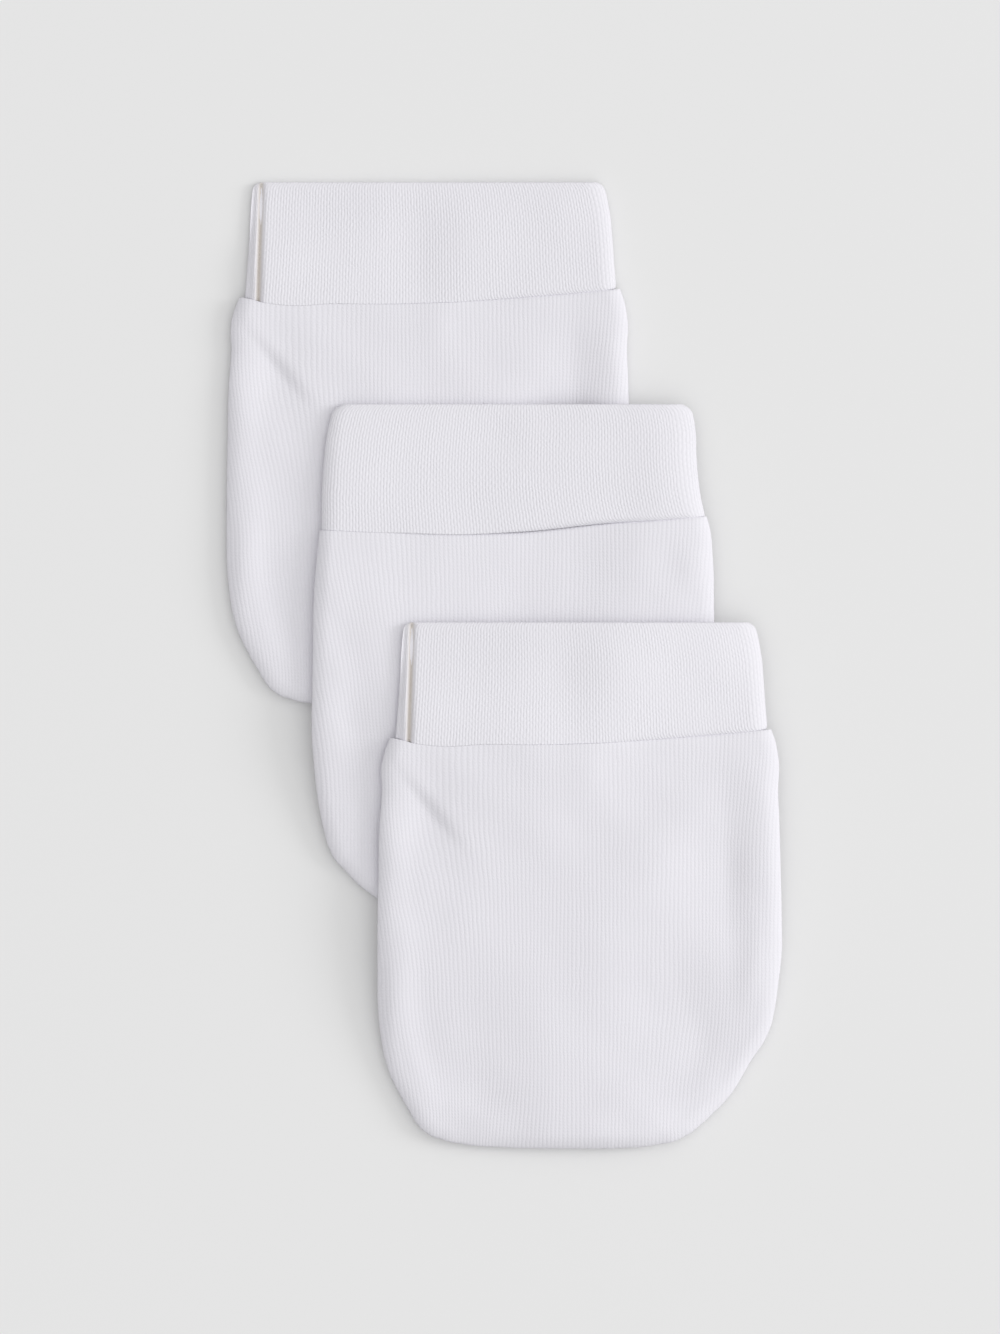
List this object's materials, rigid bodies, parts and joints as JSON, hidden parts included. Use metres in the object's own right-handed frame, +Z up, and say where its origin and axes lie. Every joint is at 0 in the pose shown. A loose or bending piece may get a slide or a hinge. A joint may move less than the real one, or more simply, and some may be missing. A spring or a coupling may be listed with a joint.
{
  "type": "set of baby scratch mittens laid flat",
  "caption": "Baby scratch mittens in white cotton knit with doubled rib cuffs, laid flat in a staggered stack.",
  "frame": {"origin": "centre of the set's outline, on the surface it lies on", "axes": "+Z up, +Y from the finger tips towards the cuffs, +X to the right seen from above"},
  "size_m": [0.1162, 0.2018, 0.0094],
  "materials": {
    "body_knit": "matt white fine cotton knit",
    "cuff_rib": "matt white finer cotton rib knit, doubled"
  },
  "bodies": {
    "root": {"mitten_lower_front": "body_knit", "mitten_lower_back": "body_knit", "mitten_lower_cuff": "cuff_rib", "mitten_middle_front": "body_knit", "mitten_middle_back": "body_knit", "mitten_middle_cuff": "cuff_rib", "mitten_upper_front": "body_knit", "mitten_upper_back": "body_knit", "mitten_upper_cuff": "cuff_rib"}
  },
  "joints": []
}
